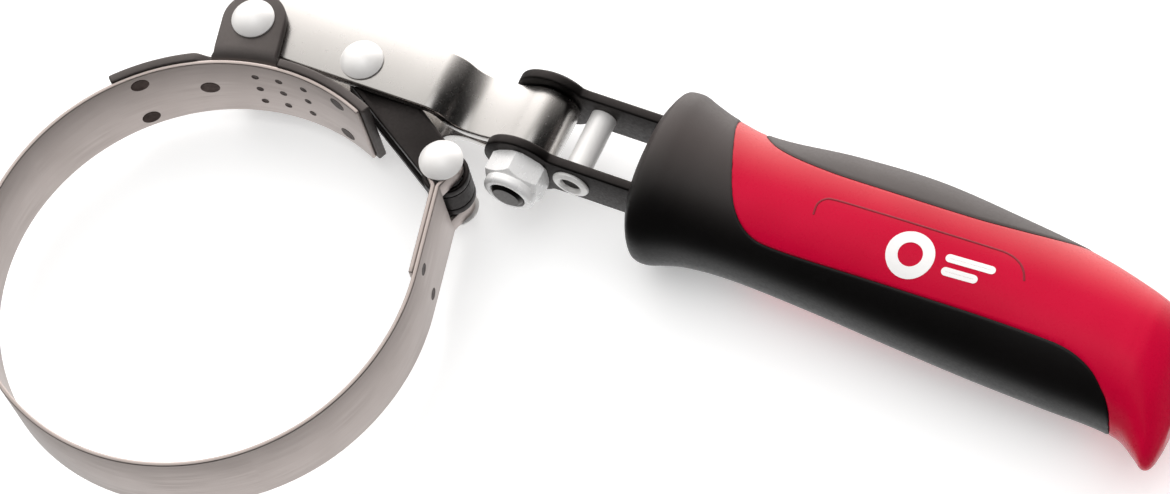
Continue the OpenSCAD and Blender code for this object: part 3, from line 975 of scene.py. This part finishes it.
# side-view edges of the overmould and of the inlay: (x, y) down the collar and along the grip, in mm
OVERMOULD_EDGE = [(97.4, 84), (98.8, 78), (100.4, 72), (103, 64.7), (105.7, 57.8), (108.2, 52.8),
                  (111, 49.5), (114.6, 47.6), (119, 47), (130, 46.8), (150, 46.8), (168, 46.9), (181, 46.8),
                  (187.4, 46.2), (192.6, 44.2), (196.3, 41.3), (198.5, 38.9), (200.4, 35)]
INLAY_EDGE = [(104.8, 79), (105.7, 76), (107.5, 72.6), (111.5, 69.8), (119, 68), (130, 67.2), (145, 67.3),
              (158, 67.9), (166, 68.9), (173, 70.2), (179, 71.8), (184, 74), (187, 77)]


def edge_y(points, x):
    return smooth_curve([(a * MM, b * MM) for a, b in points], x)[0]


def grip_point(x, phi, inset, share=1.0):
    """Point of the cross-section at x: phi runs from the top (0) round the near side to the belly (pi)."""
    top, bottom, half_z = smooth_curve(SECTIONS, x)
    mid, half_y = (top + bottom) / 2, (top - bottom) / 2
    power = 2 / SQUARENESS
    c, s = math.cos(phi), math.sin(phi)
    y = (half_y - inset) * math.copysign(abs(c) ** power, c)
    z = (half_z - inset) * math.copysign(abs(s) ** power, s)
    return Vector((x, mid + y * share, z * share))


def phi_at(x, y):
    """Angle at which the section at x has height y, from 0 (top) to pi (belly)."""
    top, bottom, _ = smooth_curve(SECTIONS, x)
    t = (y - (top + bottom) / 2) / ((top - bottom) / 2)
    if t >= 1:
        return 0.0
    if t <= -1:
        return math.pi
    return math.acos(math.copysign(abs(t) ** (SQUARENESS / 2), t))


def overmould_phi(x):
    if x <= OVERMOULD_EDGE[0][0] * MM:
        return 0.0
    if x >= OVERMOULD_EDGE[-1][0] * MM:
        return math.pi
    return phi_at(x, edge_y(OVERMOULD_EDGE, x))


def inlay_phi(x):
    if not INLAY_EDGE[0][0] * MM < x < INLAY_EDGE[-1][0] * MM:
        return 0.0
    return phi_at(x, edge_y(INLAY_EDGE, x))


def where_changes(test, low, high):
    """x between low and high at which test(x) flips, by halving."""
    at_low = test(low)
    for _ in range(40):
        middle = (low + high) / 2
        if test(middle) == at_low:
            low = middle
        else:
            high = middle
    return high


MID_X = (GRIP_X0 + GRIP_X1) / 2
OPEN_X = where_changes(lambda x: overmould_phi(x) > 0, GRIP_X0, MID_X)
SHUT_X = where_changes(lambda x: overmould_phi(x) >= math.pi, MID_X, GRIP_X1)
LENS_X0 = where_changes(lambda x: inlay_phi(x) > 0, OPEN_X, MID_X) - 0.001 * MM
LENS_X1 = where_changes(lambda x: inlay_phi(x) <= 0, MID_X, SHUT_X)


def spread(low, high, step, fine, tight=4 * MM):
    """x values from low to high, step apart in the middle and fine apart near the two ends."""
    xs, x = [], low
    while x < high - fine / 2:
        xs.append(x)
        near_end = min(x - low, high - x)
        x += fine + (step - fine) * smooth(near_end / tight)
    return xs + [high]


edge_points = []
for side in (1, -1):
    for x in spread(OPEN_X, SHUT_X, 0.2 * MM, 0.03 * MM):
        edge_points.append(grip_point(x, side * overmould_phi(x), 0))
    for x in spread(LENS_X0, LENS_X1, 0.2 * MM, 0.03 * MM):
        edge_points.append(grip_point(x, side * inlay_phi(x), 0))
seam = kdtree.KDTree(len(edge_points))
for i, p in enumerate(edge_points):
    seam.insert(p, i)
seam.balance()


def rolled_in(x, phi, radius, depth):
    """How far a rounded edge drops at this point: depth on the seam, nothing beyond radius."""
    away = seam.find(grip_point(x, phi, 0))[2]
    share = 1 - min(1, away / radius)
    return depth * (1 - math.sqrt(1 - share * share * 0.999))


def grid_faces(count_rows, count_cols, closed, base=0, flip=False):
    faces = []
    for i in range(count_rows - 1):
        for k in range(count_cols if closed else count_cols - 1):
            n = (k + 1) % count_cols
            quad = (base + i * count_cols + k, base + (i + 1) * count_cols + k,
                    base + (i + 1) * count_cols + n, base + i * count_cols + n)
            faces.append(quad[::-1] if flip else quad)
    return faces


def cap_rows(x, outward, radius, inward):
    """Rows that round off and close an end of the grip: (x, extra inset, share of the section)."""
    rows = [(x - outward * inward, radius, share) for share in (0.0, 0.25, 0.5, 0.75, 0.92)]
    for k in range(6):
        a = math.radians(90 * k / 6)
        rows.append((x - outward * (inward + radius * (1 - math.cos(a))), radius * (1 - math.sin(a)), 1.0))
    return rows


def zone(low, high, count):
    return [low + (high - low) * k / count for k in range(count + 1)]


def skin_faces(rows, cols, open_row=0):
    """Outer and inner layer of a skin, joined along its two long edges from open_row on."""
    total = rows * cols
    faces = grid_faces(rows, cols, False) + grid_faces(rows, cols, False, total, True)
    for i in range(open_row, rows - 1):
        for k in (0, cols - 1):
            a, b = i * cols + k, (i + 1) * cols + k
            faces.append((a, b, total + b, total + a))
    return faces


def red_core():
    """One closed body: red plastic where it shows, stepped in by the skin's thickness under the rubber."""
    xs = spread(GRIP_X0 + SKIN, OPEN_X, 2 * MM, 1 * MM)
    xs += spread(OPEN_X, LENS_X0, 0.4 * MM, 0.1 * MM)[1:]
    xs += spread(LENS_X0, LENS_X1, 1.0 * MM, 0.1 * MM)[1:]
    xs += spread(LENS_X1, SHUT_X, 0.8 * MM, 0.1 * MM)[1:]
    xs += spread(SHUT_X, GRIP_X1 - RED_SINK - BUTT_ROUND, 0.6 * MM, 0.1 * MM)[1:-1]
    butt = cap_rows(GRIP_X1, 1, BUTT_ROUND, RED_SINK)[::-1]
    rows = [(xs[0], 0, 0.0)] + [(x, 0, 1.0) for x in xs] + butt
    verts, uvs = [], []
    for x, extra, share in rows:
        lens, belly = inlay_phi(x), overmould_phi(x)
        red_shows = belly - lens > 1e-4
        ring = []
        for phi in zone(0, lens, 10):
            under = lens > 1e-5 or not red_shows
            ring.append((phi, SKIN if under else None))
        for phi in zone(lens, belly, 40):
            ring.append((phi, None if red_shows else SKIN))
        for phi in zone(belly, math.pi, 24):
            ring.append((phi, SKIN if math.pi - belly > 1e-5 else None))
        ring += [(-phi, inset) for phi, inset in ring[::-1]]
        for phi, inset in ring:
            if inset is None:
                inset = RED_SINK + rolled_in(x, phi, 0.5 * MM, 0.35 * MM)
            verts.append(grip_point(x, phi, inset + extra, share))
            uvs.append((x, phi * UV_R))
    return mesh_object("grip_red_core", verts, grid_faces(len(rows), len(ring), True), red_plastic, uvs, 50)


def overmould():
    """Closed rubber shell: collar all the way round, then the belly between its two long edges."""
    front = cap_rows(GRIP_X0, -1, COLLAR_ROUND, 0.0)
    xs = spread(GRIP_X0 + COLLAR_ROUND, OPEN_X, 0.8 * MM, 0.3 * MM)
    open_row = len(front) + len(xs) - 1
    xs += spread(OPEN_X, OPEN_X + 14 * MM, 0.35 * MM, 0.08 * MM)[1:]
    xs += spread(OPEN_X + 14 * MM, SHUT_X, 1.0 * MM, 0.08 * MM)[1:]
    rows = front + [(x, 0, 1.0) for x in xs]
    half = 40
    verts, uvs = [], []
    for layer in (0, 1):
        for i, (x, extra, share) in enumerate(rows):
            at = max(x, GRIP_X0 + SKIN) if layer else x
            belly = overmould_phi(x) if i >= open_row else 0.0
            phis = [belly + (math.pi - belly) * (k / half) ** 1.5 for k in range(half + 1)]
            for phi in phis + [2 * math.pi - p for p in phis[::-1]]:
                inset = SKIN if layer else extra + rolled_in(x, phi, 0.6 * MM, 0.4 * MM)
                verts.append(grip_point(at, phi, inset, share))
                uvs.append((x, phi * UV_R))
    faces = skin_faces(len(rows), 2 * half + 2, open_row)
    return mesh_object("grip_rubber_overmould", verts, faces, black_rubber, uvs, 50)


def top_inlay():
    """Closed rubber lens let into the grip's back."""
    xs = spread(LENS_X0, LENS_X1, 1.0 * MM, 0.08 * MM)
    half = 24
    verts, uvs = [], []
    for layer in (0, 1):
        for x in xs:
            lens = inlay_phi(x)
            for k in range(-half, half + 1):
                phi = lens * math.copysign(1 - (1 - abs(k) / half) ** 1.4, k)
                inset = SKIN if layer else rolled_in(x, phi, 0.6 * MM, 0.4 * MM)
                verts.append(grip_point(x, phi, inset))
                uvs.append((x, phi * UV_R))
    return mesh_object("grip_rubber_inlay", verts, skin_faces(len(xs), 2 * half + 1), black_rubber, uvs, 50)


for piece, node, finish_name in ((red_core(), "grip_core", "red_plastic"),
                                 (overmould(), "grip_overmould", "black_rubber"),
                                 (top_inlay(), "grip_top_inlay", "black_rubber")):
    stand_in(piece, "handle", node, finish_name)


# ---------------------------------------------------------------- marking on the grip's side
def side_point(x, y, lift):
    """Point on the near side of the grip at side-view place (x, y), lifted off the red plastic."""
    phi = phi_at(x, y)
    p = grip_point(x, phi, RED_SINK)
    across = grip_point(x, phi + 0.01, RED_SINK) - grip_point(x, phi - 0.01, RED_SINK)
    forward = grip_point(x + 0.5 * MM, phi, RED_SINK) - grip_point(x - 0.5 * MM, phi, RED_SINK)
    normal = across.cross(forward).normalized()
    if normal.z < 0:
        normal = -normal
    return p + normal * lift


# side-view course of the marking panel's outline: (x, y) in mm
PANEL_EDGE = [(125.6, 56.0), (125.5, 58.6), (126.6, 60.2), (129, 60.8), (140, 61.1), (152, 61.4),
              (162, 61.8), (167.5, 61.9), (170.6, 60.8), (172.3, 59), (173.2, 57)]


def catmull_rom(points, spacing):
    """Points about spacing apart on the smooth curve through the given ones."""
    path = []
    for i in range(len(points) - 1):
        p0, p1 = points[max(0, i - 1)], points[i]
        p2, p3 = points[i + 1], points[min(len(points) - 1, i + 2)]
        steps = max(3, int(math.dist(p1, p2) / spacing))
        for k in range(steps):
            t = k / steps
            path.append(tuple(0.5 * (2 * b + (c - a) * t + (2 * a - 5 * b + 4 * c - d) * t ** 2
                                     + (3 * b - a - 3 * c + d) * t ** 3)
                              for a, b, c, d in zip(p0, p1, p2, p3)))
    path.append(points[-1])
    return path


def panel_line():
    """Fine raised outline of the marking panel, open along its lower edge; its darker red is painted shade
    standing in for an engraved groove.
    """
    path = catmull_rom(PANEL_EDGE, 0.5)
    verts, count = [], 8
    for i, (x, y) in enumerate(path):
        a, b = path[max(0, i - 1)], path[min(len(path) - 1, i + 1)]
        run = Vector((b[0] - a[0], b[1] - a[1])).normalized()
        for k in range(count):
            turn = 2 * math.pi * k / count
            side = 0.3 * math.cos(turn)
            verts.append(side_point((x - run.y * side) * MM, (y + run.x * side) * MM,
                                    (-0.05 + 0.14 * math.sin(turn)) * MM))
    faces = grid_faces(len(path), count, True)
    faces += [face[::-1] for face in end_caps(len(path), count)]
    return mesh_object("grip_panel_line", verts, faces, groove_shade_red)


MARK = (148.6, 54.3)
MARK_TILT = math.radians(3.4)
MARK_RING = (2.7, 5.3)
MARK_BAR_U = 7.4
MARK_BAR_HALF = 0.95


def mark_point(u, v, lift):
    """u along the grip and v up from the middle of the mark, in mm."""
    c, s = math.cos(MARK_TILT), math.sin(MARK_TILT)
    return side_point((MARK[0] + u * c - v * s) * MM, (MARK[1] + u * s + v * c) * MM, lift)


def mark_plate(name, inner, outer):
    """Thin printed shape between two closed outlines of equal point count, which follows the surface."""
    across = 5
    rings = []
    for i in range(across + 1):
        t = i / across
        rings.append([(a[0] + (b[0] - a[0]) * t, a[1] + (b[1] - a[1]) * t) for a, b in zip(inner, outer)])
    verts = [mark_point(u, v, 0.07 * MM) for ring in rings for u, v in ring]
    verts += [mark_point(u, v, -0.08 * MM) for ring in rings[::-1] for u, v in ring]
    count, rows = len(outer), 2 * len(rings)
    faces = []
    for i in range(rows):
        for k in range(count):
            n, j = (k + 1) % count, (i + 1) % rows
            faces.append((i * count + k, j * count + k, j * count + n, i * count + n))
    return mesh_object(name, verts, faces, white_ink)


def bar_outline(u0, u1, v, half, shrink):
    """Long rounded bar; shrink 1 is its edge and 0 its middle line."""
    points = []
    for centre, start in ((u1 - half, -90), (u0 + half, 90)):
        for k in range(13):
            a = math.radians(start + 180 * k / 12)
            points.append((centre + half * shrink * math.cos(a), v + half * shrink * math.sin(a)))
    return points


def mark_bar(name, length, v):
    """Bar of the given length beside the ring, at height v."""
    core, edge = (bar_outline(MARK_BAR_U, MARK_BAR_U + length, v, MARK_BAR_HALF, share) for share in (0.02, 1))
    return mark_plate(name, core, edge)


marks = [mark_plate("mark_ring", *(circle(0, 0, r) for r in MARK_RING)),
         mark_bar("mark_bar_upper", 11, 1.5),
         mark_bar("mark_bar_lower", 8, -1.6)]
mark = join("grip_plain_mark", marks)
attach(mark, "handle")
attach(panel_line(), "handle")


# ---------------------------------------------------------------- camera, lights, floor
def make_camera():
    data = bpy.data.cameras.new("camera")
    data.sensor_width = 36
    data.lens = 103.6
    data.clip_end = 20
    cam = bpy.data.objects.new("camera", data)
    scene.collection.objects.link(cam)
    target = Vector((77.6, 37.7, 0)) * MM
    place = Vector((300.8, -237.1, 650.5)) * MM
    roll = math.radians(16.28)
    turn = (target - place).to_track_quat("-Z", "Y").to_matrix().to_4x4()
    cam.matrix_world = Matrix.Translation(place) @ turn @ Matrix.Rotation(-roll, 4, "Z")
    scene.camera = cam


def make_overhead_fill():
    """Large soft light over the object, with no reflection of its own."""
    data = bpy.data.lights.new("overhead_fill", "AREA")
    data.shape = "RECTANGLE"
    data.size = data.size_y = 1.6
    data.energy = 12.5
    light = bpy.data.objects.new("overhead_fill", data)
    scene.collection.objects.link(light)
    place, target = Vector((0.08, 0.1, 1.0)), Vector((0.08, 0.05, 0))
    turn = (target - place).to_track_quat("-Z", "Y").to_matrix().to_4x4()
    light.matrix_world = Matrix.Translation(place) @ turn
    light.visible_glossy = False


def make_world():
    """Studio surround: pale wall behind, paler side, white below and overhead, dark elsewhere."""
    world = bpy.data.worlds.new("studio")
    scene.world = world
    world.use_nodes = True
    tree = world.node_tree
    source = add(tree, "ShaderNodeTexCoord").outputs["Generated"]

    def lobe(toward, brightness, stops):
        """Light from one direction; stops are (cosine of the angle from it, colour)."""
        dot = add(tree, "ShaderNodeVectorMath", [(0, source)])
        dot.operation = "DOT_PRODUCT"
        dot.inputs[1].default_value = Vector(toward).normalized()
        scaled = add(tree, "ShaderNodeVectorMath", [(0, ramp(tree, dot.outputs["Value"], stops))])
        scaled.operation = "SCALE"
        scaled.inputs["Scale"].default_value = brightness
        return scaled.outputs["Vector"]

    def total(a, b):
        return add(tree, "ShaderNodeVectorMath", [(0, a), (1, b)]).outputs["Vector"]

    black, white = (0.0, 0.0, 0.0), (1.0, 1.0, 1.0)
    wall = lobe((-0.2, 0.97, 0.1), 2.6,
                [(0.3, (0.003, 0.003, 0.003)), (0.6, (0.09, 0.086, 0.083)),
                 (0.8, (0.5, 0.48, 0.47)), (1.0, (1.0, 0.97, 0.95))])
    side = lobe((-0.75, 0.35, 0.55), 0.95,
                [(0.3, black), (0.62, (0.16, 0.155, 0.15)),
                 (0.8, (0.62, 0.61, 0.59)), (0.9, (1.0, 0.98, 0.96))])
    below = lobe((0, 0, -1), 1.0, [(0.55, black), (0.85, white)])
    above = lobe((0, 0, 1), 0.9, [(0.955, black), (0.99, white)])
    tree.links.new(total(total(wall, side), total(below, above)), tree.nodes["Background"].inputs["Color"])


def make_floor():
    """Pale floor just under the object."""
    low = cad_box[0].z - 0.3 * MM
    half = 1.5
    verts = [(-half, -half, low), (half, -half, low), (half, half, low), (-half, half, low)]
    floor_mat, tree, shader = new_material("floor_pale")
    drift = noise(tree, coordinates(tree, "Object", (1, 1, 1)), 3, 2)
    tone = drifting_colour(tree, drift, (0.86, 0.86, 0.86), (0.9, 0.9, 0.9))
    tree.links.new(tone, shader.inputs["Base Color"])
    shader.inputs["Roughness"].default_value = 0.9
    shader.inputs["Emission Color"].default_value = (1, 1, 1, 1)
    shader.inputs["Emission Strength"].default_value = 0.34
    floor = mesh_object("floor", verts, [(0, 1, 2, 3)], floor_mat)
    floor.visible_glossy = False


scene.view_settings.view_transform = "Standard"
make_camera()
make_world()
make_floor()
make_overhead_fill()
